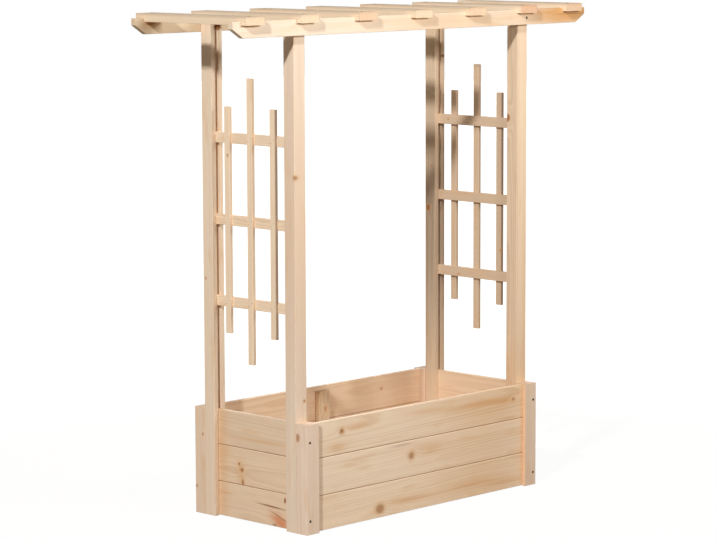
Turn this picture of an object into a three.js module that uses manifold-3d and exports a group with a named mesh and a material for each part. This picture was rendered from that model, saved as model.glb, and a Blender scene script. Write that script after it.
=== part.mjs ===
// A wooden planter with a trellis at each end and a slatted roof.
//
// Millimetres, +Z up. X runs along the front, Y from front to back, and the origin is on the
// ground under the middle of the planter. The frame is made of grooved timber: the trough's
// planks and the trellis rails are let into the grooves, and the roof slats into the beams.

import Module from 'manifold-3d';
import * as THREE from 'three';
import { mergeVertices } from 'three/addons/utils/BufferGeometryUtils.js';

// ---- driving dimensions -------------------------------------------------------------------

// all timber
const FIT = 0.3;                  // clearance left where two pieces meet
const EASED_EDGE = 1.5;           // rounding along the long edges of planed timber
const EASED_STEPS = 3;            // facets in that rounding
const BOARD_THICKNESS = 12;       // planks and rails, which share the same grooves

// trough
const TROUGH_LENGTH = 908;        // over the corner posts, along X
const TROUGH_DEPTH = 426;         // over the corner posts, along Y

// corner posts
const POST_WIDTH = 46;            // along X
const POST_DEPTH = 39;            // along Y
const POST_LIP = 9.5;             // stands this far proud of the long planks
const POST_GROOVE_DEPTH = 12;

// uprights
const UPRIGHT_WIDTH = 40;         // along X
const UPRIGHT_DEPTH = 38;         // along Y
const UPRIGHT_GROOVE_DEPTH = 10;  // the groove runs down the middle of the face

// tongue-and-groove planks
const PLANK_FACE = 100;           // face height of a full board
const BOTTOM_TRIM = 7;            // cut off the bottom board
const TOP_TRIM = 5;               // cut off the top board
const PLANK_GROUND_GAP = 2;       // the lowest boards stay off the ground
const TONGUE_THICKNESS = 4;
const TONGUE_HEIGHT = 6;
const TONGUE_SLACK = 0.8;         // room above the tongue for swelling
const SEAM_BEVEL = 2;             // the small V along each seam

// inside of the trough
const BEARER_WIDTH = 20;
const BEARER_HEIGHT = 20;
const BEARER_GROUND_GAP = 14;
const FLOOR_BOARD_WIDTH = 95;
const FLOOR_BOARD_THICKNESS = 12;
const FLOOR_BOARD_GAP = 7;        // at least, for drainage
const CLEAT_WIDTH = 40;           // joins the long planks halfway along
const CLEAT_THICKNESS = 18;
const CLEAT_DROP = 12;            // below the rim

// trellis
const RAIL_HEIGHT = 28;
const LOWEST_RAIL_Z = 569;        // underside of the lowest rail
const RAIL_PITCH = 217;
const BAR_WIDTH = 20;
const BAR_THICKNESS = 10;
const HOUSING_DEPTH = 3;          // cut into the rails' outer faces for the bars
const BAR_SIDE_GAP = 40;          // between an outer bar and the upright
const SIDE_BAR_REACH = 69;        // past the lowest and the highest rail
const MIDDLE_BAR_REACH = 145;

// roof
const BEAM_UNDERSIDE_Z = 1293;
const BEAM_HEIGHT = 42;
const BEAM_THICKNESS = 16;
const BEAM_END = 31;              // from the last slat to the beam's end
const NOSE_LENGTH = 38;           // the slant under each beam end
const NOSE_HEIGHT = 24;
const NOTCH_DEPTH = 10;
const SLAT_WIDTH = 64;
const SLAT_THICKNESS = 22;
const SLAT_OVERHANG = 17;         // past the beams' outer faces
const SLAT_REACH = 4;             // the slats on the uprights reach this far past the end faces
const SLATS_BETWEEN = 3;          // evenly spaced between the slats that sit on the uprights
const END_SLAT_PITCH = 193;       // from a slat on the uprights to the last slat

// ---- finishes -----------------------------------------------------------------------------

const FINISHES = {
  frame: { color: 0xeed4b0, roughness: 0.72, metalness: 0 },
  plank: { color: 0xe6c8a2, roughness: 0.75, metalness: 0 },
  trellis: { color: 0xe8cba6, roughness: 0.75, metalness: 0 },
  roof: { color: 0xf2dcbc, roughness: 0.72, metalness: 0 },
  floor: { color: 0xd9bb90, roughness: 0.82, metalness: 0 },
};

// ---- places worked out from the dimensions ------------------------------------------------

const manifold = await Module();
manifold.setup();

const QUARTER_TURN = Math.PI / 2;
const endX = TROUGH_LENGTH / 2;                           // end faces of posts and uprights
const longY = TROUGH_DEPTH / 2;                           // outer faces of the corner posts
const grooveWidth = BOARD_THICKNESS + 2 * FIT;
const uprightOuterY = longY - POST_DEPTH - FIT;
const uprightInnerY = uprightOuterY - UPRIGHT_DEPTH;
const rimZ = PLANK_GROUND_GAP + 3 * PLANK_FACE - BOTTOM_TRIM - TOP_TRIM;
const longPlankY = longY - POST_LIP - FIT;                // outer faces of the long planks
const uprightLip = (UPRIGHT_WIDTH - grooveWidth) / 2;
const endPlankX = endX - uprightLip - FIT;                // outer faces of end planks and rails
const insideX = endX - Math.max(POST_WIDTH, UPRIGHT_WIDTH) - FIT;
const insideY = longPlankY - BOARD_THICKNESS - FIT;
const floorTopZ = BEARER_GROUND_GAP + BEARER_HEIGHT + FIT + FLOOR_BOARD_THICKNESS;
const beamInnerY = uprightOuterY + FIT;
const beamOuterY = beamInnerY + BEAM_THICKNESS;
const notchFloorZ = BEAM_UNDERSIDE_Z + BEAM_HEIGHT - NOTCH_DEPTH;

// ---- outlines -----------------------------------------------------------------------------

const sharp = (x, y) => ({ x, y, radius: 0 });
const eased = (x, y) => ({ x, y, radius: EASED_EDGE });

/** A closed outline through the given corners, with its eased corners rounded. */
function outline(corners) {
  const shape = new THREE.Shape();
  corners.forEach((corner, i) => {
    const here = new THREE.Vector2(corner.x, corner.y);
    const before = corners[(i + corners.length - 1) % corners.length];
    const after = corners[(i + 1) % corners.length];
    const towards = (other) => new THREE.Vector2(other.x, other.y).sub(here)
      .setLength(corner.radius).add(here);
    const start = corner.radius > 0 ? towards(before) : here;
    if (i === 0) shape.moveTo(start.x, start.y);
    else shape.lineTo(start.x, start.y);
    if (corner.radius > 0) {
      const end = towards(after);
      shape.quadraticCurveTo(here.x, here.y, end.x, end.y);
    }
  });
  shape.closePath();
  return shape;
}

/** A planed rectangle centred on the origin. */
function planedOutline(width, height) {
  const [w, h] = [width / 2, height / 2];
  return outline([eased(-w, -h), eased(w, -h), eased(w, h), eased(-w, h)]);
}

/**
 * Corners of a grooved post: u from 0 to width, v from 0 to depth, with a board groove in the
 * face v = depth that starts at u = lip.
 */
function groovedCorners(width, depth, lip, grooveDepth) {
  const floor = depth - grooveDepth;
  return [
    eased(0, 0), eased(width, 0), eased(width, depth),
    sharp(lip + grooveWidth, depth), sharp(lip + grooveWidth, floor),
    sharp(lip, floor), sharp(lip, depth), eased(0, depth),
  ];
}

/**
 * Cross-section of a plank, outer face at x = 0 and thickness along inward (1 or -1). A tongued
 * board has a tongue on top, a grooved one takes the tongue of the board below.
 */
function plankOutline(faceHeight, inward, tongued, grooved) {
  const middle = BOARD_THICKNESS / 2;
  const tongue = TONGUE_THICKNESS / 2;
  const slot = tongue + FIT;
  const slotDepth = TONGUE_HEIGHT + TONGUE_SLACK;
  const bottom = grooved
    ? [sharp(0, SEAM_BEVEL), sharp(SEAM_BEVEL, 0), sharp(middle - slot, 0),
      sharp(middle - slot, slotDepth), sharp(middle + slot, slotDepth), sharp(middle + slot, 0),
      sharp(BOARD_THICKNESS, 0)]
    : [eased(0, 0), eased(BOARD_THICKNESS, 0)];
  const top = tongued
    ? [sharp(BOARD_THICKNESS, faceHeight), sharp(middle + tongue, faceHeight),
      sharp(middle + tongue, faceHeight + TONGUE_HEIGHT),
      sharp(middle - tongue, faceHeight + TONGUE_HEIGHT), sharp(middle - tongue, faceHeight),
      sharp(SEAM_BEVEL, faceHeight), sharp(0, faceHeight - SEAM_BEVEL)]
    : [eased(BOARD_THICKNESS, faceHeight), eased(0, faceHeight)];
  return outline([...bottom, ...top].map((corner) => ({ ...corner, x: inward * corner.x })));
}

// ---- timber -------------------------------------------------------------------------------

/** A length of timber with the given cross-section, running up local +Z. */
function timber(name, section, length, finish) {
  const geometry = new THREE.ExtrudeGeometry(section, {
    depth: length,
    bevelEnabled: false,
    curveSegments: EASED_STEPS,
  });
  const mesh = new THREE.Mesh(geometry, new THREE.MeshStandardMaterial(FINISHES[finish]));
  mesh.name = name;
  return mesh;
}

/** The solid inside a closed surface. */
function solid(geometry) {
  const bare = new THREE.BufferGeometry();
  bare.setAttribute('position', geometry.getAttribute('position'));
  bare.setIndex(geometry.getIndex());
  const merged = mergeVertices(bare);
  return new manifold.Manifold(new manifold.Mesh({
    numProp: 3,
    vertProperties: merged.getAttribute('position').array,
    triVerts: Uint32Array.from(merged.getIndex().array),
  }));
}

/** Cuts blocks away from a timber, all in the timber's own frame. */
function cutAway(mesh, blocks) {
  const cut = blocks.reduce((body, block) => body.subtract(solid(block)), solid(mesh.geometry));
  const { numProp, vertProperties, triVerts } = cut.getMesh();
  const surface = new THREE.BufferGeometry();
  surface.setAttribute('position', new THREE.BufferAttribute(vertProperties, numProp));
  surface.setIndex(new THREE.BufferAttribute(triVerts, 1));
  mesh.geometry = surface.toNonIndexed();
  mesh.geometry.computeVertexNormals();
  return mesh;
}

/** Lays a timber along Y, centred, with its section's x along X and its y up. */
function layAlongY(mesh, x, z, length) {
  mesh.rotation.x = QUARTER_TURN;
  mesh.position.set(x, length / 2, z);
  return mesh;
}

/** A group whose Y runs along the planter, for timbers that lie along X. */
function lengthwise() {
  const group = new THREE.Group();
  group.rotation.z = QUARTER_TURN;
  return group;
}

// ---- posts --------------------------------------------------------------------------------

const CORNERS = [
  { name: 'front_left', x: -1, y: -1 },
  { name: 'front_right', x: 1, y: -1 },
  { name: 'back_left', x: -1, y: 1 },
  { name: 'back_right', x: 1, y: 1 },
];

/** Stands a post in a corner: its section's corners are measured inwards from (x, y). */
function standInCorner(name, corners, height, corner, x, y) {
  const section = outline(corners.map(({ x: u, y: v, radius }) => (
    { x: -corner.x * u, y: -corner.y * v, radius })));
  const post = timber(name, section, height, 'frame');
  post.position.set(corner.x * x, corner.y * y, 0);
  return post;
}

/** The uprights carry the roof, the trellis rails and the end planks. */
function uprights() {
  const group = new THREE.Group();
  const corners = groovedCorners(UPRIGHT_WIDTH, UPRIGHT_DEPTH, uprightLip, UPRIGHT_GROOVE_DEPTH);
  CORNERS.forEach((corner) => group.add(standInCorner(
    `upright_${corner.name}`, corners, notchFloorZ, corner, endX, uprightOuterY)));
  return group;
}

/** The corner posts carry the long planks and end flush with the rim. Their grooves look along X. */
function cornerPosts() {
  const group = new THREE.Group();
  const corners = groovedCorners(POST_DEPTH, POST_WIDTH, POST_LIP, POST_GROOVE_DEPTH)
    .map(({ x, y, radius }) => ({ x: y, y: x, radius }));
  CORNERS.forEach((corner) => group.add(standInCorner(
    `corner_post_${corner.name}`, corners, rimZ, corner, endX, longY)));
  return group;
}

// ---- trough -------------------------------------------------------------------------------

/** Two walls of three planks along Y, with their outer faces at x = -offset and x = offset. */
function plankWalls(sides, offset, length) {
  const group = new THREE.Group();
  const rows = [
    { name: 'bottom', face: PLANK_FACE - BOTTOM_TRIM, tongued: true, grooved: false },
    { name: 'middle', face: PLANK_FACE, tongued: true, grooved: true },
    { name: 'top', face: PLANK_FACE - TOP_TRIM, tongued: false, grooved: true },
  ];
  sides.forEach((side, i) => {
    const inward = i === 0 ? 1 : -1;
    let z = PLANK_GROUND_GAP;
    rows.forEach(({ name, face, tongued, grooved }) => {
      const section = plankOutline(face - FIT, inward, tongued, grooved);
      const plank = timber(`${side}_plank_${name}`, section, length, 'plank');
      group.add(layAlongY(plank, -inward * offset, z, length));
      z += face;
    });
  });
  return group;
}

/** The four walls: end planks in the uprights' grooves, long planks in the corner posts'. */
function troughWalls() {
  const group = new THREE.Group();
  const endLength = 2 * (uprightInnerY + UPRIGHT_GROOVE_DEPTH - FIT);
  const longLength = 2 * (endX - POST_WIDTH + POST_GROOVE_DEPTH - FIT);
  group.add(plankWalls(['left', 'right'], endPlankX, endLength));
  group.add(lengthwise().add(plankWalls(['front', 'back'], longPlankY, longLength)));
  return group;
}

/** Two bearers along the long planks, and boards across them with gaps for drainage. */
function troughFloor() {
  const group = new THREE.Group();
  const bearerLength = 2 * insideX;
  const bearers = lengthwise();
  ['front', 'back'].forEach((side, i) => {
    const section = planedOutline(BEARER_WIDTH, BEARER_HEIGHT);
    const bearer = timber(`floor_bearer_${side}`, section, bearerLength, 'floor');
    const y = (i === 0 ? -1 : 1) * (insideY - BEARER_WIDTH / 2);
    bearers.add(layAlongY(bearer, y, BEARER_GROUND_GAP + BEARER_HEIGHT / 2, bearerLength));
  });
  group.add(bearers);
  const count = Math.floor((bearerLength + FLOOR_BOARD_GAP) / (FLOOR_BOARD_WIDTH + FLOOR_BOARD_GAP));
  const pitch = (bearerLength - FLOOR_BOARD_WIDTH) / (count - 1);
  const boardZ = floorTopZ - FLOOR_BOARD_THICKNESS / 2;
  for (let i = 0; i < count; i += 1) {
    const section = planedOutline(FLOOR_BOARD_WIDTH, FLOOR_BOARD_THICKNESS);
    const board = timber(`floor_board_${i + 1}`, section, 2 * insideY, 'floor');
    const x = FLOOR_BOARD_WIDTH / 2 - insideX + i * pitch;
    group.add(layAlongY(board, x, boardZ, 2 * insideY));
  }
  return group;
}

/** Two cleats halfway along the long walls, standing on the floor. */
function wallCleats() {
  const group = new THREE.Group();
  const foot = floorTopZ + FIT;
  ['front', 'back'].forEach((side, i) => {
    const section = planedOutline(CLEAT_WIDTH, CLEAT_THICKNESS);
    const cleat = timber(`wall_cleat_${side}`, section, rimZ - CLEAT_DROP - foot, 'floor');
    cleat.position.set(0, (i === 0 ? -1 : 1) * (insideY - CLEAT_THICKNESS / 2), foot);
    group.add(cleat);
  });
  return group;
}

// ---- trellis ------------------------------------------------------------------------------

/** One end's trellis: side is -1 at the left and 1 at the right. The bars are on the outside. */
function trellis(end, side) {
  const group = new THREE.Group();
  const barPitch = uprightInnerY - BAR_SIDE_GAP - BAR_WIDTH / 2;
  const railLength = 2 * (uprightInnerY + UPRIGHT_GROOVE_DEPTH - FIT);
  const railX = side * (endPlankX - BOARD_THICKNESS / 2);
  const housings = [-barPitch, 0, barPitch].map((along) => (
    new THREE.BoxGeometry(2 * HOUSING_DEPTH, 2 * RAIL_HEIGHT, BAR_WIDTH + 2 * FIT)
      .translate(side * BOARD_THICKNESS / 2, 0, railLength / 2 + along)));
  const levels = ['low', 'middle', 'high'];
  levels.forEach((level, i) => {
    const section = planedOutline(BOARD_THICKNESS, RAIL_HEIGHT);
    const rail = timber(`${end}_trellis_rail_${level}`, section, railLength, 'trellis');
    const z = LOWEST_RAIL_Z + i * RAIL_PITCH + RAIL_HEIGHT / 2;
    group.add(layAlongY(cutAway(rail, housings), railX, z, railLength));
  });
  const railsHeight = (levels.length - 1) * RAIL_PITCH + RAIL_HEIGHT;
  const barX = side * (endPlankX - HOUSING_DEPTH + FIT + BAR_THICKNESS / 2);
  const bars = [
    { place: 'front', y: -barPitch, reach: SIDE_BAR_REACH },
    { place: 'middle', y: 0, reach: MIDDLE_BAR_REACH },
    { place: 'back', y: barPitch, reach: SIDE_BAR_REACH },
  ];
  bars.forEach(({ place, y, reach }) => {
    const section = planedOutline(BAR_THICKNESS, BAR_WIDTH);
    const bar = timber(`${end}_trellis_bar_${place}`, section, railsHeight + 2 * reach, 'trellis');
    bar.position.set(barX, y, LOWEST_RAIL_Z - reach);
    group.add(bar);
  });
  return group;
}

// ---- roof ---------------------------------------------------------------------------------

/** Centres of the slats along X: one on each pair of uprights, some between, one past each. */
function slatCentres() {
  const onUprights = endX + SLAT_REACH - SLAT_WIDTH / 2;
  const pitch = (2 * onUprights) / (SLATS_BETWEEN + 1);
  const inner = Array.from({ length: SLATS_BETWEEN + 2 }, (_, i) => i * pitch - onUprights);
  return [-onUprights - END_SLAT_PITCH, ...inner, onUprights + END_SLAT_PITCH];
}

/** The block that a slat's notch removes from a beam, along being measured down the beam. */
function notchBlock(along) {
  return new THREE.BoxGeometry(2 * BEAM_THICKNESS, 2 * NOTCH_DEPTH, SLAT_WIDTH + 2 * FIT)
    .translate(0, BEAM_HEIGHT / 2, along);
}

/** The wedge that slants the underside of a beam's end: inward is 1 or -1 along the beam. */
function noseBlock(end, inward) {
  const at = (along, up) => sharp(end + inward * along, up - BEAM_HEIGHT / 2);
  const wedge = outline([
    at(-NOSE_LENGTH, 2 * NOSE_HEIGHT), at(-NOSE_LENGTH, -NOSE_HEIGHT),
    at(2 * NOSE_LENGTH, -NOSE_HEIGHT),
  ]);
  return new THREE.ExtrudeGeometry(wedge, { depth: 2 * BEAM_THICKNESS, bevelEnabled: false })
    .translate(0, 0, -BEAM_THICKNESS).rotateY(-QUARTER_TURN);
}

/** Two notched beams on the outer faces of the uprights. */
function roofBeams(centres) {
  const group = lengthwise();
  const halfLength = centres.at(-1) + SLAT_WIDTH / 2 + BEAM_END;
  const blocks = [
    ...centres.map((x) => notchBlock(halfLength + x)),
    noseBlock(0, 1), noseBlock(2 * halfLength, -1),
  ];
  ['front', 'back'].forEach((side, i) => {
    const section = planedOutline(BEAM_THICKNESS, BEAM_HEIGHT);
    const beam = cutAway(timber(`roof_beam_${side}`, section, 2 * halfLength, 'roof'), blocks);
    const y = (i === 0 ? -1 : 1) * (beamOuterY - BEAM_THICKNESS / 2);
    group.add(layAlongY(beam, y, BEAM_UNDERSIDE_Z + BEAM_HEIGHT / 2, 2 * halfLength));
  });
  return group;
}

/** The slats across the beams, let into their notches. */
function roofSlats(centres) {
  const group = new THREE.Group();
  const length = 2 * (beamOuterY + SLAT_OVERHANG);
  centres.forEach((x, i) => {
    const section = planedOutline(SLAT_WIDTH, SLAT_THICKNESS);
    const slat = timber(`roof_slat_${i + 1}`, section, length, 'roof');
    group.add(layAlongY(slat, x, notchFloorZ + FIT + SLAT_THICKNESS / 2, length));
  });
  return group;
}

// ---- the planter --------------------------------------------------------------------------

const planter = new THREE.Group();
planter.add(
  uprights(), cornerPosts(), troughWalls(), troughFloor(), wallCleats(),
  trellis('left', -1), trellis('right', 1), roofBeams(slatCentres()), roofSlats(slatCentres()),
);

export default planter;
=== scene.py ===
"""The looks of a timber planter with a trellis at each end and a slatted roof.

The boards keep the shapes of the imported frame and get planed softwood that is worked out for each
board by itself, with its own log, knots and marks. The screws and brads are modelled here.
Everything is in metres, +Z up, with X along the front and Y from front to back.
"""

import logging
import math
import random
from abc import ABC, abstractmethod
from dataclasses import dataclass, field
from enum import Enum
from typing import Union

import bpy
from mathutils import Matrix, Vector


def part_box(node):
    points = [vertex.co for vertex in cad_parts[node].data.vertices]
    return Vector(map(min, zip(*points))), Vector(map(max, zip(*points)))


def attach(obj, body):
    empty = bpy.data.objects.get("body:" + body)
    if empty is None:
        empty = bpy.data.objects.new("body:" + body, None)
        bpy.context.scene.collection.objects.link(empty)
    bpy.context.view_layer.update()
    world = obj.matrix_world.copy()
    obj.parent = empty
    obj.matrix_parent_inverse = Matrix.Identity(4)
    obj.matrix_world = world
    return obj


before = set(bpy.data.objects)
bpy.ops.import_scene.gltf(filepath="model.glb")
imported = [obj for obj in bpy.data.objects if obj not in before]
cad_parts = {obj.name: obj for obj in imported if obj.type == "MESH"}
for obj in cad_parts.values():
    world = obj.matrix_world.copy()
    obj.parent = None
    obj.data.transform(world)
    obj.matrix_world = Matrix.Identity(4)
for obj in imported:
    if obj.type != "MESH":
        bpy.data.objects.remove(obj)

log = logging.getLogger("planter")

MM = 0.001
Colour = tuple[float, float, float]
Point = tuple[float, float, float]
WHITE: Colour = (1.0, 1.0, 1.0)
UP: Point = (0, 0, 1)


def srgb(red: float, green: float, blue: float) -> Colour:
    """Turn an 8-bit display colour into the linear one that shaders use.

    Args:
        red: Red, 0 to 255.
        green: Green, 0 to 255.
        blue: Blue, 0 to 255.

    Returns:
        The linear colour.
    """
    def linear(channel: float) -> float:
        """One channel, by the sRGB curve."""
        c = channel / 255
        return c / 12.92 if c <= 0.04045 else ((c + 0.055) / 1.055) ** 2.4

    return linear(red), linear(green), linear(blue)


# ---- shader expressions ----


@dataclass(frozen=True)
class Wire:
    """An output socket of a shader that can be used in Python expressions."""

    shader: "Shader"
    socket: bpy.types.NodeSocket | None

    def __add__(self, other: "Value") -> "Wire":
        """Add."""
        return self.shader.math("ADD", self, other)

    __radd__ = __add__

    def __sub__(self, other: "Value") -> "Wire":
        """Subtract."""
        return self.shader.math("SUBTRACT", self, other)

    def __rsub__(self, other: "Value") -> "Wire":
        """Subtract, from the right."""
        return self.shader.math("SUBTRACT", other, self)

    def __mul__(self, other: "Value") -> "Wire":
        """Multiply."""
        return self.shader.math("MULTIPLY", self, other)

    __rmul__ = __mul__

    def __truediv__(self, other: "Value") -> "Wire":
        """Divide."""
        return self.shader.math("DIVIDE", self, other)

    def __pow__(self, other: "Value") -> "Wire":
        """Raise to a power."""
        return self.shader.math("POWER", self, other)

    def fraction(self) -> "Wire":
        """The part after the decimal point."""
        return self.shader.math("FRACT", self)

    def exp(self) -> "Wire":
        """e to the power of this."""
        return self.shader.math("EXPONENT", self)

    def bell(self) -> "Wire":
        """A bell curve that is 1 where this is 0."""
        return (self ** 2.0 * -1.0).exp()

    def ramp(self, low: float, high: float) -> "Wire":
        """Rise smoothly from 0 to 1.

        Args:
            low: Where the rise starts.
            high: Where it ends.

        Returns:
            The smooth step; it falls instead if low is above high.
        """
        ends = {"Value": self, "From Min": low, "From Max": high}
        return self.shader.node("ShaderNodeMapRange", {"interpolation_type": "SMOOTHSTEP"}, ends)


Value = Union[Wire, float]
Spot = tuple[Wire, Wire, Value]


class Shader:
    """Builds the nodes of a material or of the world."""

    def __init__(self, owner: Union[bpy.types.Material, bpy.types.World]) -> None:
        """Start with an empty node tree.

        Args:
            owner: What the nodes belong to.
        """
        owner.use_nodes = True
        self.tree = owner.node_tree
        self.tree.nodes.clear()

    def node(
        self, kind: str, settings: dict[str, object] | None = None,
        inputs: dict[str | int, object] | None = None, output: str | int = 0,
    ) -> Wire:
        """Add a node.

        Args:
            kind: The node's type.
            settings: Its own settings, set before its sockets are fed.
            inputs: Values or wires by socket name or number.
            output: The output to return.

        Returns:
            The chosen output.
        """
        made = self.tree.nodes.new(kind)
        for name, value in (settings or {}).items():
            setattr(made, name, value)
        for name, value in (inputs or {}).items():
            self._feed(made.inputs[name], value)
        return Wire(self, made.outputs[output] if made.outputs else None)

    def _feed(self, socket: bpy.types.NodeSocket, value: object) -> None:
        """Link a wire to an input, or set its value.

        Args:
            socket: The input.
            value: The wire or the value; a colour may leave out its alpha.
        """
        if isinstance(value, Wire):
            self.tree.links.new(value.socket, socket)
        elif isinstance(value, tuple) and len(value) == 3 and socket.type == "RGBA":
            socket.default_value = (*value, 1.0)
        else:
            socket.default_value = value

    def math(self, operation: str, *values: Value) -> Wire:
        """Add a Math node on one or two values."""
        return self.node("ShaderNodeMath", {"operation": operation}, dict(enumerate(values)))

    def mix(self, share: Value, first: object, second: object, blend: str = "MIX") -> Wire:
        """Mix two colours.

        Args:
            share: How much of the second.
            first: The first colour or wire.
            second: The second colour or wire.
            blend: The blend type.

        Returns:
            The mixed colour.
        """
        settings = {"data_type": "RGBA", "blend_type": blend}
        return self.node("ShaderNodeMix", settings, {0: share, 6: first, 7: second}, output=2)

    def noise(self, place: Wire, detail: float = 2.0, roughness: float = 0.5) -> Wire:
        """Add smooth noise with lumps about one unit across.

        Args:
            place: Where to look it up.
            detail: How many finer layers it has.
            roughness: How strong they are.

        Returns:
            The noise, around 0.5.
        """
        inputs = {"Vector": place, "Scale": 1.0, "Detail": detail, "Roughness": roughness}
        return self.node("ShaderNodeTexNoise", inputs=inputs)

    def vector(self, x: Value, y: Value, z: Value) -> Wire:
        """Join three numbers into a vector."""
        return self.node("ShaderNodeCombineXYZ", inputs={"X": x, "Y": y, "Z": z})

    def parts(self, vector: Wire) -> list[Wire]:
        """Split a vector into its three numbers."""
        split = self.node("ShaderNodeSeparateXYZ", inputs={"Vector": vector}).socket.node
        return [Wire(self, socket) for socket in split.outputs]

    def principled(self, inputs: dict[str, object]) -> None:
        """End a material with a Principled surface."""
        surface = self.node("ShaderNodeBsdfPrincipled", inputs=inputs)
        self.node("ShaderNodeOutputMaterial", inputs={"Surface": surface})


# ---- timber ----


class Axis(Enum):
    """A direction of the planter's frame."""

    X = 0
    Y = 1
    Z = 2


def numbered(prefix: str) -> list[str]:
    """The nodes whose names start so, from left to right."""
    return sorted(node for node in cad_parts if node.startswith(prefix))


def middle(node: str) -> Vector:
    """The centre of a packed board."""
    low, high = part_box(node)
    return (low + high) / 2


def outer(node: str, side: int) -> Vector:
    """The corner of a packed board's box on its low side (-1) or its high side (1)."""
    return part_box(node)[side > 0]


@dataclass(frozen=True)
class Mark:
    """Something seen in the wood, at a place along and across the board, in metres.

    It goes right through the board, unless depth gives its centre and its half size on the
    board's third axis.
    """

    along: float
    across: float
    depth: tuple[float, float] | None = field(default=None, kw_only=True)


@dataclass(frozen=True)
class Knot(Mark):
    """A knot: its radius, how far it is drawn out along the grain, how dark and how haloed."""

    radius: float
    stretch: float = 1.25
    tone: float = 0.8
    halo: float = 2.6


class Tint(Enum):
    """What stains a patch of wood, or lays painted shade on it."""

    WARM = "warm"
    RESIN = "resin"
    PITCH = "pitch"
    # Painted shade: a grey brown laid where shade falls.
    PAINTED_SHADE = "painted_shade"


@dataclass(frozen=True)
class StainOrShade(Mark):
    """A soft patch or streak that runs with the grain: a stain, or painted shade where shade falls.
    """

    half_length: float
    half_width: float
    strength: float = 0.5
    tilt: float = 0.0
    tint: Tint = Tint.WARM


@dataclass(frozen=True)
class Board:
    """One board of the frame, and what is seen on it.

    The width of a board is the way that is neither the grain nor the face. Knots, stains, painted
    shade and the lines of painted shade at joints are placed on the planter's own coordinates,
    along the grain and across the width.
    """

    node: str
    grain: Axis
    face: Axis
    knots: tuple[Knot, ...] | None = None
    # Stains, and painted shade where shade falls on the board.
    stains: tuple[StainOrShade, ...] = ()
    joints: tuple[float, ...] = ()
    tone: Colour = WHITE

    @property
    def width(self) -> Axis:
        """The way across the board's face."""
        return next(axis for axis in Axis if axis not in (self.grain, self.face))


@dataclass(frozen=True)
class Timber:
    """Planed, untreated softwood: its colours, its rings and how strongly it is marked."""

    slot: str
    early: Colour = srgb(243, 221, 194)
    late: Colour = srgb(206, 166, 126)
    warm: Colour = srgb(224, 170, 114)
    resin: Colour = srgb(226, 154, 112)
    pitch: Colour = srgb(138, 92, 52)
    # The colour of painted shade.
    painted_shade: Colour = srgb(130, 106, 88)
    knot: Colour = srgb(164, 104, 60)
    knot_rim: Colour = srgb(122, 74, 44)
    # Painted shade in the gaps where two planks meet.
    joint_shade: Colour = srgb(150, 104, 66)
    joint_shade_half: float = 1.0 * MM
    pinker: Colour = (0.97, 0.91, 0.93)
    drift: float = 0.35
    ring: float = 3.2 * MM
    contrast: float = 0.48
    knots_per_metre: float = 1.2
    roughness: float = 0.68
    relief: float = 0.4 * MM
    relief_strength: float = 0.35
    specular: float = 0.2


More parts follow.
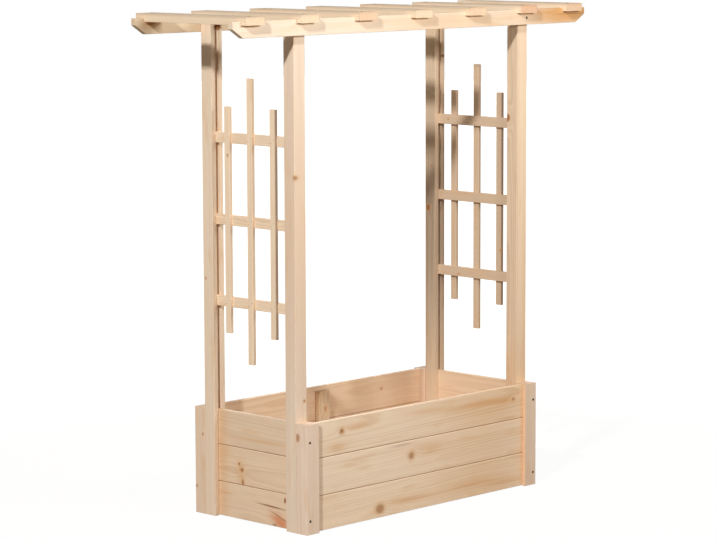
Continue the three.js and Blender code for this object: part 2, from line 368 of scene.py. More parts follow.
class Log:
    """The log that one board was sawn from, worked out in the board's own shader.

    The growth rings are circles round a pith that lies off the board and leans a little along it,
    and they flow round the knots.
    """

    # How far off the board the pith may lie, in millimetres, and how far it may lean in a metre.
    pith_across = (15, 75)
    pith_through = (50, 110)
    lean_across = 0.012
    lean_through = 0.02
    sway_across = 18 * MM
    sway_through = 10 * MM
    # Noise: its lumps in a metre along and across the board, its detail and its roughness.
    sway_noise = (3.0, 8.0, 2.0, 0.5)
    fibre_noise = (60.0, 2400.0, 3.0, 0.7)
    streak_noise = (5.0, 150.0, 3.0, 0.6)
    blotch_noise = (7.0, 34.0, 2.0, 0.5)
    # Noise in the rings: its lumps in a metre out from the pith and along it.
    spacing_lumps = (90.0, 0.8)
    weight_lumps = (160.0, 1.5)
    # Where the drift of the colour, the late wood, a knot's eye and the end grain set in.
    pinker_range = (0.62, 0.34)
    warmer_range = (0.52, 0.8)
    late_rise = (0.15, 0.86)
    late_fall = (1.0, 0.9)
    weight_range = (0.25, 0.7)
    eye_range = (1.25, 0.55)
    end_range = (0.6, 0.9)
    # Knots by chance: their place as shares of length and width, their size in millimetres, and
    # the width of board from which on they have it.
    knot_along = (0.15, 0.85)
    knot_across = 0.38
    knot_radius = (2.0, 4.5)
    knot_least = 0.6 * MM
    knot_stretch = (1.1, 1.6)
    knot_tone = (0.4, 0.8)
    full_width = 40 * MM
    # How uneven the rings' spacing is, in rings, and how far round a knot they are pushed aside.
    spacing = 2.6
    push_along = 3.2
    push_across = 2.2
    stain_fade = 1.4

    def __init__(self, timber: Timber, board: Board) -> None:
        """Lay out the board's own space and grow its wood.

        Args:
            timber: The kind of wood.
            board: The board.
        """
        self.timber = timber
        self.board = board
        self.draw = random.Random(f"{timber.slot} {board.node}")
        self.made = bpy.data.materials.new(f"timber_{board.node}")
        self.shader = Shader(self.made)
        axes = [axis.value for axis in (board.grain, board.width, board.face)]
        low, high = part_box(board.node)
        centre = (low + high) / 2
        self.centre = [centre[i] for i in axes]
        self.size = [high[i] - low[i] for i in axes]
        place = self.shader.parts(self.shader.node("ShaderNodeTexCoord", output="Object"))
        self.uvw = [place[i] - centre[i] for i in axes]
        self.knots = self._drawn_knots() if board.knots is None else board.knots
        self.spots = [self._from(knot) for knot in self.knots]
        self.late, self.rings = self._rings()
        shift = self.draw.uniform(0, 100)
        self.fibre = self._noise(self.fibre_noise, shift)
        self.streak = self._noise(self.streak_noise, shift)
        self.blotch = self._noise(self.blotch_noise, shift)

    def material(self) -> bpy.types.Material:
        """Lay the colours over each other, from the board's own tone to its marks.

        Returns:
            The board's material.
        """
        shader, timber = self.shader, self.timber
        base = self._base()
        pinker = tuple(part * share for part, share in zip(base, timber.pinker))
        colour = shader.mix(self.blotch.ramp(*self.pinker_range) * timber.drift, base, pinker)
        ringed = self.late * (0.4 + 0.6 * self.streak) * timber.contrast
        colour = shader.mix(ringed, colour, timber.late)
        warmer = self.blotch.ramp(*self.warmer_range) * timber.drift
        colour = shader.mix(warmer, colour, timber.warm)
        shade = 0.95 + 0.07 * self.streak + 0.03 * self.fibre
        colour = shader.mix(1.0, colour, shader.vector(shade, shade, shade), "MULTIPLY")
        for stain in self.board.stains:
            colour = self._add_stain_or_shade(stain, colour)
        for knot, spot in zip(self.knots, self.spots):
            colour = self._add_knot(knot, spot, colour)
        for joint_shade in self.board.joints:
            colour = self._add_joint_shade(joint_shade, colour)
        self._finish(*self._end_grain(colour))
        return self.made

    def _drawn_knots(self) -> tuple[Knot, ...]:
        """Draw knots for a board that has none given.

        Returns:
            The knots, smaller on a narrow board.
        """
        draw = self.draw
        length, width, _ = self.size
        count = int(length * self.timber.knots_per_metre + draw.random())
        start = self.centre[0] - length / 2
        narrow = min(1.0, width / self.full_width)
        return tuple(
            Knot(
                start + length * (i + draw.uniform(*self.knot_along)) / count,
                self.centre[1] + width * draw.uniform(-self.knot_across, self.knot_across),
                draw.uniform(*self.knot_radius) * MM * narrow + self.knot_least,
                draw.uniform(*self.knot_stretch),
                draw.uniform(*self.knot_tone),
            )
            for i in range(count)
        )

    def _noise(self, kind: tuple[float, float, float, float], shift: float) -> Wire:
        """Add noise that is drawn out along the grain.

        Args:
            kind: Its lumps in a metre along and across the board, its detail and its roughness.
            shift: How far it is moved along, in lumps.

        Returns:
            The noise, around 0.5.
        """
        u, v, w = self.uvw
        along, across, detail, roughness = kind
        place = self.shader.vector(u * along + shift, v * across, w * across)
        return self.shader.noise(place, detail, roughness)

    def _rings(self) -> tuple[Wire, Wire]:
        """Grow the rings round the pith.

        Returns:
            How late in the year the wood grew, and the raw ring wave.
        """
        draw, shader = self.draw, self.shader
        u, v, w = self.uvw
        pith_v = draw.choice((-1, 1)) * draw.uniform(*self.pith_across) * MM
        pith_w = draw.choice((-1, 1)) * draw.uniform(*self.pith_through) * MM
        lean_v = draw.uniform(-self.lean_across, self.lean_across)
        lean_w = draw.uniform(-self.lean_through, self.lean_through)
        shift = draw.uniform(0, 50)
        sway = self._noise(self.sway_noise, shift) - 0.5
        across = v - pith_v + u * lean_v + sway * self.sway_across
        through = w - pith_w + u * lean_w + sway * self.sway_through
        radius = (across ** 2.0 + through ** 2.0) ** 0.5 + self._push()
        out, along = self.spacing_lumps
        uneven = shader.noise(shader.vector(radius * out, u * along, shift), 1.0)
        wave = (radius / self.timber.ring + uneven * self.spacing).fraction()
        out, along = self.weight_lumps
        weight = shader.noise(shader.vector(radius * out, u * along, shift + 7.0), 1.0)
        late = wave.ramp(*self.late_rise) * wave.ramp(*self.late_fall)
        return late * weight.ramp(*self.weight_range), wave

    def _push(self) -> Value:
        """Find how far the knots push the rings aside.

        Returns:
            The distance in metres.
        """
        push: Value = 0.0
        for knot, spot in zip(self.knots, self.spots):
            longer = knot.radius * max(knot.stretch, 1.0)
            reach = self._reach(spot, longer * self.push_along, knot.radius * self.push_across)
            push = push + (reach * -1.0).exp() * knot.radius
        return push

    def _from(self, mark: Mark) -> Spot:
        """Measure from a mark.

        Args:
            mark: The mark.

        Returns:
            Metres along and across the board from it, and half depths through the board.
        """
        along = self.uvw[0] - (mark.along - self.centre[0])
        across = self.uvw[1] - (mark.across - self.centre[1])
        if mark.depth is None:
            return along, across, 0.0
        middle, half = mark.depth
        return along, across, (self.uvw[2] - (middle - self.centre[2])) / half

    def _reach(self, spot: Spot, half_length: float, half_width: float) -> Wire:
        """How far out a point is on an ellipsoid round a mark, squared."""
        along, across, through = spot
        return (along / half_length) ** 2.0 + (across / half_width) ** 2.0 + through ** 2.0

    def _base(self) -> Colour:
        """Vary the board's base colour a little from its neighbours'.

        Returns:
            The colour.
        """
        light = self.draw.uniform(0.98, 1.02)
        warmth = self.draw.uniform(-0.02, 0.02)
        early, tone = self.timber.early, self.board.tone
        red, green, blue = (light * part * share for part, share in zip(early, tone))
        return min(red * (1 + 0.3 * warmth), 1.0), green, blue * (1 - warmth)

    def _add_stain_or_shade(self, stain: StainOrShade, colour: Wire) -> Wire:
        """Lay a soft stain or painted shade over the wood, stronger in the late wood.

        Args:
            stain: The stain or painted shade.
            colour: The wood so far.

        Returns:
            The stained or shaded wood.
        """
        along, across, through = self._from(stain)
        leaning = (along, across - along * stain.tilt, through)
        reach = self._reach(leaning, stain.half_length, stain.half_width)
        grainy = 0.45 + 0.25 * self.late + 0.6 * self.streak
        share = (reach * -self.stain_fade).exp() * grainy * stain.strength
        return self.shader.mix(share, colour, getattr(self.timber, stain.tint.value))

    def _add_knot(self, knot: Knot, spot: Spot, colour: Wire) -> Wire:
        """Lay a knot over the wood: a warm halo, a brown eye with rings and a thin dark rim.

        Args:
            knot: The knot.
            spot: The distances from it.
            colour: The wood so far.

        Returns:
            The wood with the knot.
        """
        mix, timber = self.shader.mix, self.timber
        reach = self._reach(spot, knot.radius * knot.stretch, knot.radius)
        out = reach ** 0.5 + (self.streak - 0.5) * 0.7
        halo = out.ramp(knot.halo * 1.1, knot.halo * 0.5) * (0.25 + 0.3 * knot.tone)
        rings = (out * 2.3).fraction() * 0.3 + 0.7
        eye = out.ramp(*self.eye_range) * rings * knot.tone
        rim = ((out - 1.0) * 4.5).bell() * (0.35 * knot.tone)
        return mix(rim, mix(eye, mix(halo, colour, timber.warm), timber.knot), timber.knot_rim)

    def _add_joint_shade(self, joint_shade: float, colour: Wire) -> Wire:
        """Paint shade on the line where two planks meet."""
        off = (self.uvw[1] - (joint_shade - self.centre[1])) / self.timber.joint_shade_half
        return self.shader.mix(off.bell() * 0.75, colour, self.timber.joint_shade)

    def _end_grain(self, colour: Wire) -> tuple[Wire, Wire]:
        """Darken the sawn ends, where the rings stand out more.

        Args:
            colour: The wood so far.

        Returns:
            The wood with its ends, and what is 1 on an end and 0 elsewhere.
        """
        normal = self.shader.parts(self.shader.node("ShaderNodeTexCoord", output="Normal"))
        facing = self.shader.math("ABSOLUTE", normal[self.board.grain.value])
        end = facing.ramp(*self.end_range)
        sawn = self.shader.mix(0.08 + 0.30 * self.rings, colour, self.timber.late)
        return self.shader.mix(end, colour, sawn), end

    def _finish(self, colour: Wire, end: Wire) -> None:
        """Give the wood its planed surface, rougher on the ends.

        Args:
            colour: The wood's colour.
            end: 1 on an end and 0 elsewhere.
        """
        shader, timber = self.shader, self.timber
        height = self.fibre * 0.5 + self.late * 0.35 + end * self.rings * 0.4
        bump = {"Strength": timber.relief_strength, "Distance": timber.relief, "Height": height}
        rough = timber.roughness + 0.10 * (self.fibre - 0.5) - 0.06 * self.late + 0.12 * end
        shader.principled({
            "Base Color": colour,
            "Roughness": rough,
            "Specular IOR Level": timber.specular,
            "Normal": shader.node("ShaderNodeBump", inputs=bump),
        })


@dataclass(frozen=True)
class PlatedSteel:
    """Dull plating that is tarnished to brown, darker here and there."""

    name: str
    bright: Colour = srgb(100, 84, 68)
    dark: Colour = srgb(50, 40, 32)
    metallic: float = 0.4
    speckles_per_metre: float = 900.0

    def material(self) -> bpy.types.Material:
        """Build the material that all such faces share.

        Returns:
            The material.
        """
        made = bpy.data.materials.new(self.name)
        shader = Shader(made)
        place = shader.parts(shader.node("ShaderNodeTexCoord", output="Object"))
        speckled = shader.vector(*(part * self.speckles_per_metre for part in place))
        wear = shader.noise(speckled, 3.0, 0.6)
        shader.principled({
            "Base Color": shader.mix(wear.ramp(0.35, 0.7), self.dark, self.bright),
            "Roughness": 0.55 + 0.25 * wear,
            "Metallic": self.metallic,
        })
        return made


# ---- screws and brads ----


@dataclass(frozen=True)
class Fastener:
    """Where a screw or brad sits: its name, its point, the way it faces and its turn in radians."""

    name: str
    point: Point
    facing: Point
    turn: float = 0.0


@dataclass(frozen=True)
class Head(ABC):
    """The end of a fastener that shows: its radius, and how far it stands out of the wood."""

    radius: float
    stand: float

    @abstractmethod
    def model(self) -> bpy.types.Object:
        """Model one head at the origin, facing up, to be copied."""

    def disc(self, sides: int) -> bpy.types.Object:
        """Add a disc as large as the head, and enter edit mode with its top selected.

        Args:
            sides: How many sides its outline has.

        Returns:
            The disc.
        """
        bpy.ops.object.select_all(action="DESELECT")
        bpy.ops.mesh.primitive_cylinder_add(
            vertices=sides, radius=self.radius, depth=self.stand, location=(0, 0, self.stand / 2)
        )
        bpy.ops.object.transform_apply(location=True, rotation=False, scale=False)
        disc = bpy.context.object
        bpy.ops.object.mode_set(mode="EDIT")
        bpy.ops.mesh.select_mode(type="FACE")
        bpy.ops.mesh.select_all(action="DESELECT")
        bpy.ops.object.mode_set(mode="OBJECT")
        for face in disc.data.polygons:
            face.select = face.normal.z > 0.9
        bpy.ops.object.mode_set(mode="EDIT")
        return disc


@dataclass(frozen=True)
class ScrewHead(Head):
    """A countersunk head with a cross slot: a rim round a dished middle, painted near black as
    shade.

    The widths of the rim and the slope, and the recess's radius, are shares of the radius. The
    depths and the slot's height are shares of the stand.
    """

    radius: float = 3.6 * MM
    stand: float = 0.3 * MM
    rim: float = 0.2
    rim_depth: float = 0.5
    slope: float = 0.25
    slope_depth: float = 0.15
    slot_length: float = 4.6 * MM
    slot_width: float = 1.0 * MM
    slot_height: float = 0.62
    recess: float = 0.7

    def model(self) -> bpy.types.Object:
        """Model one head at the origin, facing up.

        Returns:
            The head, with its recess in the second material slot.
        """
        head = self.disc(24)
        for width, depth in ((self.rim, self.rim_depth), (self.slope, self.slope_depth)):
            bpy.ops.mesh.inset(thickness=self.radius * width)
            bpy.ops.transform.translate(value=(0, 0, -self.stand * depth))
        bpy.ops.object.mode_set(mode="OBJECT")
        for turn in (0.0, math.pi / 2):
            self._cut_slot(head, turn)
        for _ in range(2):
            head.data.materials.append(None)
        for face in head.data.polygons:
            out = math.hypot(face.center.x, face.center.y)
            face.material_index = int(out < self.radius * self.recess and face.center.z > 0.0)
        return head

    def _cut_slot(self, head: bpy.types.Object, turn: float) -> None:
        """Cut one bar of the cross slot.

        Args:
            head: The head to cut.
            turn: The bar's turn about the upright axis.
        """
        bpy.ops.object.select_all(action="DESELECT")
        bpy.ops.mesh.primitive_cube_add(
            size=1.0, location=(0, 0, self.stand * self.slot_height), rotation=(0, 0, turn)
        )
        bar = bpy.context.object
        bar.scale = (self.slot_length, self.slot_width, self.stand)
        cut = head.modifiers.new("slot", "BOOLEAN")
        cut.operation = "DIFFERENCE"
        cut.object = bar
        cut.solver = "EXACT"
        bpy.context.view_layer.objects.active = head
        bpy.ops.object.modifier_apply(modifier=cut.name)
        bpy.data.objects.remove(bar)


@dataclass(frozen=True)
class BradHead(Head):
    """The small head of a brad, with a flat dome inside its rim."""

    radius: float = 0.9 * MM
    stand: float = 0.25 * MM
    slope: float = 0.35
    rise: float = 0.3

    def model(self) -> bpy.types.Object:
        """Model one head at the origin, facing up.

        Returns:
            The head.
        """
        head = self.disc(14)
        bpy.ops.mesh.inset(thickness=self.radius * self.slope)
        bpy.ops.transform.translate(value=(0, 0, self.stand * self.rise))
        bpy.ops.object.mode_set(mode="OBJECT")
        head.data.materials.append(None)
        return head


class Workshop:
    """Sets copies of the modelled heads into the wood."""

    slot = "screw_metal"

    def __init__(self) -> None:
        """Make the metals; the heads are modelled when they are first needed."""
        self.metals = [
            PlatedSteel("plated_steel").material(),
            # The dished middle and the slot of a screw head are painted near black, as shade in the
            # recess.
            PlatedSteel("screw_recess_painted_shade", srgb(40, 32, 26), srgb(20, 16, 14), 0.2).material(),
        ]
        self.patterns: dict[Head, bpy.types.Object] = {}

    def fit(self, head: Head, fasteners: list[Fastener]) -> None:
        """Set one head at each place.

        Args:
            head: The kind of head.
            fasteners: The places.
        """
        if head not in self.patterns:
            self.patterns[head] = head.model()
        for fastener in fasteners:
            piece = bpy.data.objects.new(fastener.name, self.patterns[head].data.copy())
            bpy.context.scene.collection.objects.link(piece)
            facing = Vector(fastener.facing).to_track_quat("Z", "Y").to_matrix().to_4x4()
            turned = Matrix.Rotation(fastener.turn, 4, "Z")
            piece.data.transform(Matrix.Translation(Vector(fastener.point)) @ facing @ turned)
            for i, metal in zip(range(len(piece.data.materials)), self.metals):
                piece.data.materials[i] = metal
            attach(piece, "root")

    def tidy(self) -> None:
        """Take the patterns away."""
        for pattern in self.patterns.values():
            bpy.data.objects.remove(pattern)


# ---- sub-assemblies ----


class SubAssembly(ABC):
    """Boards that belong together, with one kind of timber and their own fasteners."""

    timber: Timber

    @abstractmethod
    def boards(self) -> list[Board]:
        """The boards, with their grain and their marks."""

    def fasten(self, workshop: Workshop) -> None:
        """Set the screws and brads; none unless a sub-assembly says so."""

    def build(self, workshop: Workshop) -> None:
        """Dress every board and set the fasteners.

        Args:
            workshop: Where the fasteners come from.
        """
        for board in self.boards():
            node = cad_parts[board.node]
            node.data.materials.clear()
            node.data.materials.append(Log(self.timber, board).material())
            log.info("%s: %s", type(self).__name__, board.node)
        self.fasten(workshop)


# Half the length of painted shade that runs from end to end of any board.
WHOLE = 4.0
# Each corner's side along X and along Y.
CORNERS = {
    "front_left": (-1, -1),
    "front_right": (1, -1),
    "back_left": (-1, 1),
    "back_right": (1, 1),
}


@dataclass
class Uprights(SubAssembly):
    """The four grooved uprights."""

    timber: Timber = Timber(
        slot="frame_timber", early=srgb(245, 220, 190), ring=2.6 * MM, contrast=0.4)
    middle_height: float = 0.7
    # Where the painted shade inside each groove lies, and how soft it is.
    groove_floor: float = 8 * MM
    groove_soft: float = 7 * MM
    groove_inset: float = 2 * MM
    groove_half: float = 5 * MM

    def boards(self) -> list[Board]:
        """The uprights, with the knots and stains that show, and painted shade in their grooves and
        on the right ones.

        Returns:
            The four boards.
        """
        seen = {
            "front_left": (
                Knot(0.929, -0.174, 4.0 * MM, 1.0, 0.8, depth=(-0.452, 8 * MM)),
                Knot(0.346, -0.174, 2.4 * MM, depth=(-0.423, 3 * MM)),
            ),
            "back_left": (
                Knot(1.306, 0.138, 8.5 * MM, 1.0, 1.3, 1.3, depth=(-0.431, 11 * MM)),
                Knot(0.64, 0.164, 2.2 * MM, 1.2, 0.6),
            ),
            "back_right": (
                Knot(0.761, 0.162, 6.5 * MM, 1.2, 1.1, 2.0), Knot(0.882, 0.15, 2.0 * MM),
                Knot(0.758, 0.139, 4.5 * MM, 1.6, 1.2, 1.3, depth=(0.434, 6 * MM)),
                Knot(1.195, 0.137, 4.5 * MM, 1.0, 1.3, 1.3, depth=(0.447, 6 * MM)),
            ),
            "front_right": (Knot(1.034, -0.139, 7.5 * MM, 1.3, 1.1, 1.6, depth=(0.414, 8 * MM)),),
        }
        stained_or_shaded = {
            "front_left": (StainOrShade(0.78, -0.155, 0.35, 0.1, 0.3),),
            "back_right": (
                StainOrShade(1.192, 0.142, 0.02, 0.003, 0.6, tint=Tint.PITCH, depth=(0.414, 8 * MM)),
                # Painted shade over the middle of the back right upright.
                StainOrShade(0.7, 0.155, 0.4, 0.06, 0.8, tint=Tint.PAINTED_SHADE),
            ),
            "front_right": (
                # Painted shade along the inner face of the front right upright.
                StainOrShade(0.8, -0.155, WHOLE, 0.1, 0.3, tint=Tint.PAINTED_SHADE, depth=(0.412, 8 * MM)),
                StainOrShade(0.33, -0.155, 0.1, 0.1, 0.3),
                StainOrShade(0.5, -0.155, 0.4, 0.1, 0.4, depth=(0.454, 24 * MM)),
            ),
        }
        tones = {
            "front_left": (1.01, 1.03, 1.07),
            "back_left": (1.0, 1.02, 1.05),
            # The back right upright is toned darker all over: painted shade.
            "back_right": (0.92, 0.9, 0.86),
            "front_right": (1.04, 1.02, 0.98),
        }
        made = []
        for corner, (side, depth) in CORNERS.items():
            name = f"upright_{corner}"
            floor = outer(name, -depth).y + depth * self.groove_floor
            wall = outer(f"{'left' if side < 0 else 'right'}_plank_middle", -1).x
            # Painted shade along the inside of each groove.
            groove_shade = StainOrShade(
                self.middle_height, floor, WHOLE, self.groove_soft, 1.2, tint=Tint.PITCH,
                depth=(wall + self.groove_inset, self.groove_half))
            stains = (groove_shade, *stained_or_shaded.get(corner, ()))
            made.append(Board(name, Axis.Z, Axis.X, seen[corner], stains, tone=tones[corner]))
        return made


@dataclass
class CornerPosts(SubAssembly):
    """The four posts at the trough's corners, and the screws through them."""

    timber: Timber = Timber(
        slot="frame_timber", early=srgb(242, 215, 188), ring=2.4 * MM, contrast=0.4)
    screw_inset: float = 12 * MM
    screw_heights: tuple[float, float] = (36 * MM, 243 * MM)
    screw_turn: float = 0.7
    corner_turn: float = 0.4
    lip: float = 3 * MM

    def boards(self) -> list[Board]:
        """The corner posts, and the warm edge of the one at the front right.

        Returns:
            The four boards.
        """
        seen = {
            "front_left": (Knot(0.254, -0.18, 6.0 * MM, 1.6, 0.7, 1.6),),
            "back_left": (Knot(0.217, 0.182, 2.4 * MM), Knot(0.073, 0.208, 2.6 * MM)),
        }
        tones = {"front_left": (1.07, 1.09, 1.12)}
        inner = outer("corner_post_front_right", -1).x
        lip = (StainOrShade(0.145, inner, 0.4, self.lip, 0.6),)
        return [
            *(Board(f"corner_post_{corner}", Axis.Z, Axis.X, seen.get(corner),
                    tone=tones.get(corner, WHITE))
              for corner in CORNERS if corner != "front_right"),
            Board("corner_post_front_right", Axis.Z, Axis.Y, (), lip),
        ]

    def fasten(self, workshop: Workshop) -> None:
        """Set two screws through the front or back face of each post, each turned its own way.

        Args:
            workshop: Where the screws come from.
        """
        places = []
        for corner, (side, depth) in CORNERS.items():
            post = f"corner_post_{corner}"
            x = outer(post, side).x - side * self.screw_inset
            y = outer(post, depth).y
            for i, height in enumerate(self.screw_heights):
                turn = self.screw_turn * i + self.corner_turn * side
                places.append(Fastener(
                    f"post_screw_{corner}_{i + 1}", (x, y, height), (0, depth, 0), turn))
        workshop.fit(ScrewHead(), places)


@dataclass
class Planks(SubAssembly):
    """The tongue-and-groove planks of the trough's four walls."""

    timber: Timber = Timber(slot="plank_timber", early=srgb(242, 214, 181), ring=4.0 * MM)
    front_tone: Colour = (1.12, 1.165, 1.21)
    end_warmth: float = 0.55
    middle_height: float = 0.145
    half_height: float = 0.6

    def boards(self) -> list[Board]:
        """The planks, with the knots and stains that show at the front and the left.

        Returns:
            The twelve boards.
        """
        seen = {
            "front_plank_top": (
                (Knot(-0.315, 0.256, 5.2 * MM, 1.1, 0.95), Knot(0.368, 0.253, 3.2 * MM, 1.2, 0.8)),
                (StainOrShade(-0.25, 0.262, 0.07, 0.012, 0.7), StainOrShade(0.24, 0.258, 0.15, 0.01, 1.1, 0.03),
                 StainOrShade(0.33, 0.25, 0.045, 0.007, 0.9), StainOrShade(0.3, 0.24, 0.14, 0.06, 0.3),
                 StainOrShade(-0.33, 0.214, 0.04, 0.016, 0.6), StainOrShade(0.02, 0.266, 0.12, 0.01, 0.5, -0.02),
                 StainOrShade(0.345, 0.203, 0.05, 0.004, 0.8)),
            ),
            "front_plank_middle": (
                (Knot(-0.048, 0.152, 8.0 * MM, 1.1, 0.75, 2.5),),
                (StainOrShade(-0.085, 0.186, 0.05, 0.004, 0.5, tint=Tint.PITCH),
                 StainOrShade(0.02, 0.165, 0.08, 0.022, 0.5)),
            ),
            "front_plank_bottom": (
                (Knot(-0.171, 0.026, 10.5 * MM, 1.25, 0.75, 2.2),),
                (StainOrShade(-0.06, 0.034, 0.11, 0.012, 0.7), StainOrShade(0.2, 0.04, 0.16, 0.016, 0.6),
                 StainOrShade(0.33, 0.024, 0.08, 0.008, 0.6)),
            ),
            "left_plank_top": ((), (StainOrShade(-0.02, 0.222, 0.15, 0.005, 0.5),)),
            "left_plank_middle": (
                (Knot(0.056, 0.151, 3.2 * MM, 0.9, 0.95), Knot(0.046, 0.136, 3.8 * MM, 1.2, 1.0),
                 Knot(0.043, 0.103, 7.0 * MM, 0.45, 0.9)),
                (StainOrShade(0.05, 0.13, 0.022, 0.04, 0.7),),
            ),
            "left_plank_bottom": (
                (Knot(-0.117, 0.077, 6.5 * MM, 0.5, 1.3, 1.5),),
                (StainOrShade(-0.068, 0.0535, 0.055, 0.0022, 1.5, 0.04, Tint.PITCH),
                 StainOrShade(-0.1, 0.014, 0.038, 0.022, 1.5, 0.35, Tint.RESIN),
                 StainOrShade(-0.096, 0.03, 0.034, 0.0016, 1.2, 0.35, Tint.PITCH),
                 StainOrShade(-0.078, 0.006, 0.008, 0.003, 1.2, tint=Tint.PITCH),
                 StainOrShade(0.11, 0.066, 0.03, 0.003, 1.0)),
            ),
        }
        made = []
        for side, grain, face in (("front", Axis.X, Axis.Y), ("back", Axis.X, Axis.Y),
                                  ("left", Axis.Y, Axis.X), ("right", Axis.Y, Axis.X)):
            joints = tuple(outer(f"{side}_plank_{row}", -1).z for row in ("middle", "top"))
            for row in ("bottom", "middle", "top"):
                name = f"{side}_plank_{row}"
                knots, stains = seen.get(name, (None, ()))
                made.append(Board(
                    name, grain, face, knots, stains + self.far_end(side), joints,
                    self.front_tone if side == "front" else WHITE))
        return made

    def far_end(self, side: str) -> tuple[StainOrShade, ...]:
        """The warmer tone of a wall's planks towards their far post, and painted shade in the
        corner there.

        Args:
            side: The wall.

        Returns:
            The stains, over the wall's whole height; none on the walls that don't show.
        """
        if side == "front":
            end, width = outer("corner_post_front_right", -1).x, 9 * MM
            bands = [(end - 162 * MM, 234 * MM, 0.4, Tint.WARM)]
        elif side == "left":
            end, width, bands = outer("upright_back_left", -1).y, 30 * MM, []
        else:
            return ()
        bands.append((end - width * 0.4, width, self.end_warmth, Tint.WARM))
        # A thin line of painted shade in the corner where the planks meet the post.
        bands.append((end, 1.3 * MM, 0.5, Tint.PITCH))
        return tuple(
            StainOrShade(along, self.middle_height, half_length, self.half_height, strength, tint=tint)
            for along, half_length, strength, tint in bands
        )


@dataclass
class TroughInside(SubAssembly):
    """The floor boards, the bearers under them and the cleats that join the long planks."""

    timber: Timber = Timber(
        slot="inner_timber", early=srgb(228, 202, 168), late=srgb(194, 152, 108),
        contrast=0.72, roughness=0.8, knots_per_metre=3.0)
    screw_inset: float = 10 * MM
    screw_share: float = 0.3

    def boards(self) -> list[Board]:
        """The floor boards, bearers and cleats.

        Returns:
            The twelve boards.
        """
        return [
            *(Board(name, Axis.Y, Axis.Z) for name in numbered("floor_board_")),
            *(Board(f"floor_bearer_{side}", Axis.X, Axis.Y) for side in ("front", "back")),
            *(Board(f"wall_cleat_{side}", Axis.Z, Axis.Y) for side in ("front", "back")),
        ]

    def fasten(self, workshop: Workshop) -> None:
        """Set a screw through each end of each floor board, into the bearers.

        Args:
            workshop: Where the screws come from.
        """
        places = []
        for name in numbered("floor_board_"):
            low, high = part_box(name)
            x = low.x + (high.x - low.x) * self.screw_share
            ends = {"front": low.y + self.screw_inset, "back": high.y - self.screw_inset}
            for end, y in ends.items():
                point = (x, y, high.z)
                places.append(Fastener(f"floor_screw_{name[-1]}_{end}", point, UP, int(name[-1])))
        workshop.fit(ScrewHead(), places)


@dataclass
class Trellis(SubAssembly):
    """One end's trellis: three rails with three bars housed in their outer faces."""

    end: str = "left"
    outward: int = -1
    tone: Colour = WHITE
    brad_shift: float = 6 * MM
    brad_slant: float = 0.8
    # How wide the painted shade on the front bar's front edge is.
    edge: float = 1.5 * MM
    timber: Timber = Timber(
        slot="trellis_timber", early=srgb(244, 217, 184), ring=2.4 * MM, knots_per_metre=0.8)

    def boards(self) -> list[Board]:
        """The rails and the bars, the front bar with painted shade along its front edge.

        Returns:
            The six boards.
        """
        rails = [f"{self.end}_trellis_rail_{level}" for level in ("low", "middle", "high")]
        bars = [f"{self.end}_trellis_bar_{place}" for place in ("middle", "back")]
        front = f"{self.end}_trellis_bar_front"
        # Painted shade along the front bar's front face, where the front upright shades it.
        edge = StainOrShade(0.8, outer(front, -1).y, WHOLE, self.edge, 0.6, tint=Tint.PAINTED_SHADE)
        return [
            *(Board(name, Axis.Y, Axis.X, tone=self.tone) for name in rails),
            *(Board(name, Axis.Z, Axis.X, tone=self.tone) for name in bars),
            Board(front, Axis.Z, Axis.X, None, (edge,), tone=self.tone),
        ]

    def fasten(self, workshop: Workshop) -> None:
        """Set two brads through each bar where it crosses a rail.

        Args:
            workshop: Where the brads come from.
        """
        places = []
        for place in ("front", "middle", "back"):
            bar = f"{self.end}_trellis_bar_{place}"
            x, y = outer(bar, self.outward).x, middle(bar).y
            for level in ("low", "middle", "high"):
                z = middle(f"{self.end}_trellis_rail_{level}").z
                for i, shift in enumerate((-self.brad_shift, self.brad_shift)):
                    places.append(Fastener(
                        f"{self.end}_brad_{place}_{level}_{i + 1}",
                        (x, y + shift, z - shift * self.brad_slant), (self.outward, 0, 0)))
        workshop.fit(BradHead(), places)


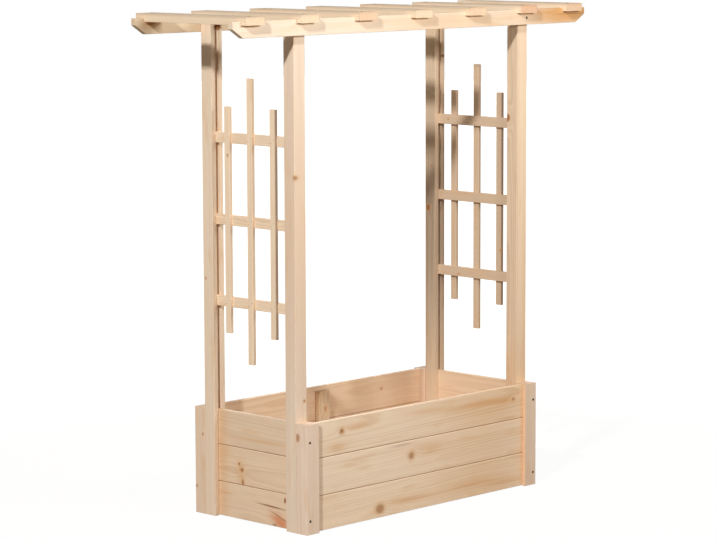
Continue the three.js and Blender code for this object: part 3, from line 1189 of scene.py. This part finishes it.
@dataclass
class Roof(SubAssembly):
    """The two notched beams and the slats let into them."""

    timber: Timber = Timber(
        slot="roof_timber", early=srgb(248, 225, 194), late=srgb(226, 190, 148), ring=3.0 * MM)
    beam_screw_height: float = 19 * MM
    # How deep the painted shade on a slat's top reaches.
    top_shade_depth: float = 5 * MM
    resin_length: float = 4 * MM

    def boards(self) -> list[Board]:
        """The beams, with the knots that show, and the slats.

        Returns:
            The nine boards.
        """
        front = (
            (Knot(-0.622, 1.3215, 1.5 * MM, 11.0, 0.45), Knot(0.64, 1.325, 1.4 * MM, 14.0, 0.6)),
            (StainOrShade(0.6, 1.318, 0.19, 0.034, 1.5),
             StainOrShade(0.475, 1.33, 0.03, 0.008, 0.5, tint=Tint.RESIN),
             StainOrShade(0.62, 1.3175, 0.06, 0.0016, 0.9, tint=Tint.PITCH),
             StainOrShade(0.08, 1.31, 0.3, 0.05, 0.45)),
        )
        back = (
            (Knot(-0.63, 1.32, 3.2 * MM, 4.0, 0.95),),
            (StainOrShade(-0.58, 1.326, 0.07, 0.006, 0.4),),
        )
        resin = {3: 0.4, 5: 0.25, 6: 0.7, 7: 0.4}
        return [
            Board("roof_beam_front", Axis.X, Axis.Y, *front, tone=(1.02, 1.05, 1.11)),
            Board("roof_beam_back", Axis.X, Axis.Y, *back, tone=(0.86, 0.84, 0.78)),
            *(Board(name, Axis.Y, Axis.Z, None, self.slat_stains_and_shade(name, resin.get(i, 0.0)))
              for i, name in enumerate(numbered("roof_slat_"), start=1)),
        ]

    def slat_stains_and_shade(self, name: str, resin: float) -> tuple[StainOrShade, ...]:
        """Painted shade on the top of a slat, and the resin that reddens the front end of some.

        Args:
            name: The slat's node.
            resin: How strong the resin is, 0 for none.

        Returns:
            The painted shade, and a resin stain on some.
        """
        low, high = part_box(name)
        x = middle(name).x
        # Painted shade over the top face of the slat.
        top_shade = StainOrShade(0.0, x, 1.0, 0.1, 0.45, tint=Tint.PAINTED_SHADE, depth=(high.z, self.top_shade_depth))
        if resin == 0.0:
            return (top_shade,)
        return top_shade, StainOrShade(low.y, x, self.resin_length, 0.1, resin, tint=Tint.RESIN)

    def fasten(self, workshop: Workshop) -> None:
        """Set a screw through the beams into each upright, and through each slat into each beam.

        No head shows at the front left upright.

        Args:
            workshop: Where the screws come from.
        """
        beams = {end: f"roof_beam_{end}" for end in ("front", "back")}
        places = []
        for corner, (side, depth) in CORNERS.items():
            if corner == "front_left":
                continue
            beam = beams["front" if depth < 0 else "back"]
            z = outer(beam, -1).z + self.beam_screw_height
            point = (middle(f"upright_{corner}").x, outer(beam, depth).y, z)
            places.append(Fastener(f"beam_screw_{corner}", point, (0, depth, 0), side))
        for name in numbered("roof_slat_"):
            for end, beam in beams.items():
                point = (middle(name).x, middle(beam).y, outer(name, 1).z)
                places.append(Fastener(f"slat_screw_{name[-1]}_{end}", point, UP, int(name[-1])))
        workshop.fit(ScrewHead(), places)


# ---- studio ----


@dataclass(frozen=True)
class Lamp:
    """A softbox: where it stands, what it is turned to, how large it is and how strong."""

    name: str
    place: Point
    towards: Point
    size: tuple[float, float]
    power: float
    colour: Colour = WHITE

    def build(self) -> None:
        """Add the lamp, unseen by the camera."""
        bpy.ops.object.light_add(type="AREA", location=self.place)
        lamp = bpy.context.object
        lamp.name = self.name
        away = Vector(self.place) - Vector(self.towards)
        lamp.rotation_euler = away.to_track_quat("Z", "Y").to_euler()
        lamp.data.shape = "RECTANGLE"
        lamp.data.size, lamp.data.size_y = self.size
        lamp.data.energy = self.power
        lamp.data.color = self.colour
        lamp.visible_camera = False


@dataclass(frozen=True)
class Studio:
    """The floor, the light and the camera."""

    lens: float = 141.16
    sensor: float = 36.0
    azimuth: float = -45.786
    elevation: float = 7.396
    roll: float = -0.191
    distance: float = 7.6395
    target: Point = (-0.0429, 0.0, 0.6375)
    floor_size: float = 28.0
    floor_drop: float = 0.4 * MM
    floor_colour: Colour = (0.34, 0.315, 0.28)
    floor_glow: float = 1.21
    floor_share: float = 0.22
    shadow_reach: tuple[float, float] = (1.2, 3.2)
    sky: float = 0.12
    sky_colour: Colour = (1.0, 0.80, 0.60)
    lamps: tuple[Lamp, ...] = (
        Lamp("side_lamp", (-8.75, -3.8, 6.55), (-0.3, 0.0, 0.6), (0.6, 0.6), 900.0,
             (0.975, 1.0, 1.035)),
        Lamp("front_lamp", (-0.05, -2.35, 1.9), (0.0, 0.0, 2.2), (1.1, 0.4), 44.0,
             (0.985, 0.995, 1.0)),
        Lamp("back_lamp", (2.4, 2.6, 1.15), (0.0, 0.0, 0.8), (1.4, 0.8), 55.0),
    )

    def build(self) -> None:
        """Build the floor, the background, the lamps and the camera."""
        self._floor()
        self._world()
        for lamp in self.lamps:
            lamp.build()
        self._camera()
        bpy.context.scene.view_settings.view_transform = "Standard"
        log.info("Studio: floor, world, %d lamps and camera", len(self.lamps))

    def _seen(self, shader: Shader) -> Wire:
        """Tell rays that show a surface from those that only light it.

        Args:
            shader: The shader that asks.

        Returns:
            1 for rays from the camera and for mirrored or clear ones, and 0 for lighting.
        """
        path = shader.node("ShaderNodeLightPath").socket.node
        camera, glossy, clear = (
            Wire(shader, path.outputs[name])
            for name in ("Is Camera Ray", "Is Glossy Ray", "Is Transmission Ray")
        )
        return shader.math("MAXIMUM", camera, shader.math("MAXIMUM", glossy, clear))

    def _floor(self) -> None:
        """A pale floor that looks white and still keeps the planter's shadow."""
        bpy.ops.object.select_all(action="DESELECT")
        bpy.ops.mesh.primitive_plane_add(size=self.floor_size, location=(0, 0, -self.floor_drop))
        floor = bpy.context.object
        floor.name = "studio_floor"
        made = bpy.data.materials.new("pale_floor")
        shader = Shader(made)
        seen = self._seen(shader)
        paint = shader.node("ShaderNodeBsdfDiffuse", inputs={"Color": self.floor_colour})
        light = {"Color": WHITE, "Strength": self.floor_glow}
        glow = shader.node("ShaderNodeEmission", inputs=light)
        x, y, _ = shader.parts(shader.node("ShaderNodeTexCoord", output="Object"))
        near = ((x ** 2.0 + y ** 2.0) ** 0.5).ramp(*reversed(self.shadow_reach))
        share = seen * (1 - near * self.floor_share)
        both = shader.node("ShaderNodeMixShader", inputs={0: share, 1: paint, 2: glow})
        shader.node("ShaderNodeOutputMaterial", inputs={"Surface": both})
        floor.data.materials.append(made)

    def _world(self) -> None:
        """A white background that lights the planter less than it shows."""
        world = bpy.data.worlds.new("studio_world")
        bpy.context.scene.world = world
        shader = Shader(world)
        seen = self._seen(shader)
        strength = self.sky + seen * (1.0 - self.sky)
        colour = shader.mix(seen, self.sky_colour, WHITE)
        back = shader.node("ShaderNodeBackground", inputs={"Color": colour, "Strength": strength})
        shader.node("ShaderNodeOutputWorld", inputs={"Surface": back})

    def _camera(self) -> None:
        """The camera, where the photograph was taken from."""
        a, e = math.radians(self.azimuth), math.radians(self.elevation)
        back = Vector((math.sin(a) * math.cos(e), -math.cos(a) * math.cos(e), math.sin(e)))
        bpy.ops.object.camera_add(location=Vector(self.target) + back * self.distance)
        camera = bpy.context.object
        camera.name = "photo_camera"
        level = (-back).to_track_quat("-Z", "Y").to_matrix()
        rolled = level @ Matrix.Rotation(math.radians(self.roll), 3, "Z")
        camera.rotation_euler = rolled.to_euler()
        camera.data.lens = self.lens
        camera.data.sensor_width = self.sensor
        camera.data.dof.use_dof = False
        bpy.context.scene.camera = camera


# ---- the planter ----


def main() -> None:
    """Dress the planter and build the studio."""
    logging.basicConfig(level=logging.INFO, format="%(message)s")
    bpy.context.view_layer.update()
    workshop = Workshop()
    assemblies: list[SubAssembly] = [
        CornerPosts(), Uprights(), Planks(), TroughInside(),
        # The left trellis is toned lighter and the right one darker: painted light on the left end
        # and painted shade on the right.
        Trellis(end="left", outward=-1, tone=(1.08, 1.10, 1.12)),
        Trellis(end="right", outward=1, tone=(0.80, 0.78, 0.77)), Roof(),
    ]
    for assembly in assemblies:
        assembly.build(workshop)
    workshop.tidy()
    Studio().build()


if __name__ == "__main__":
    main()
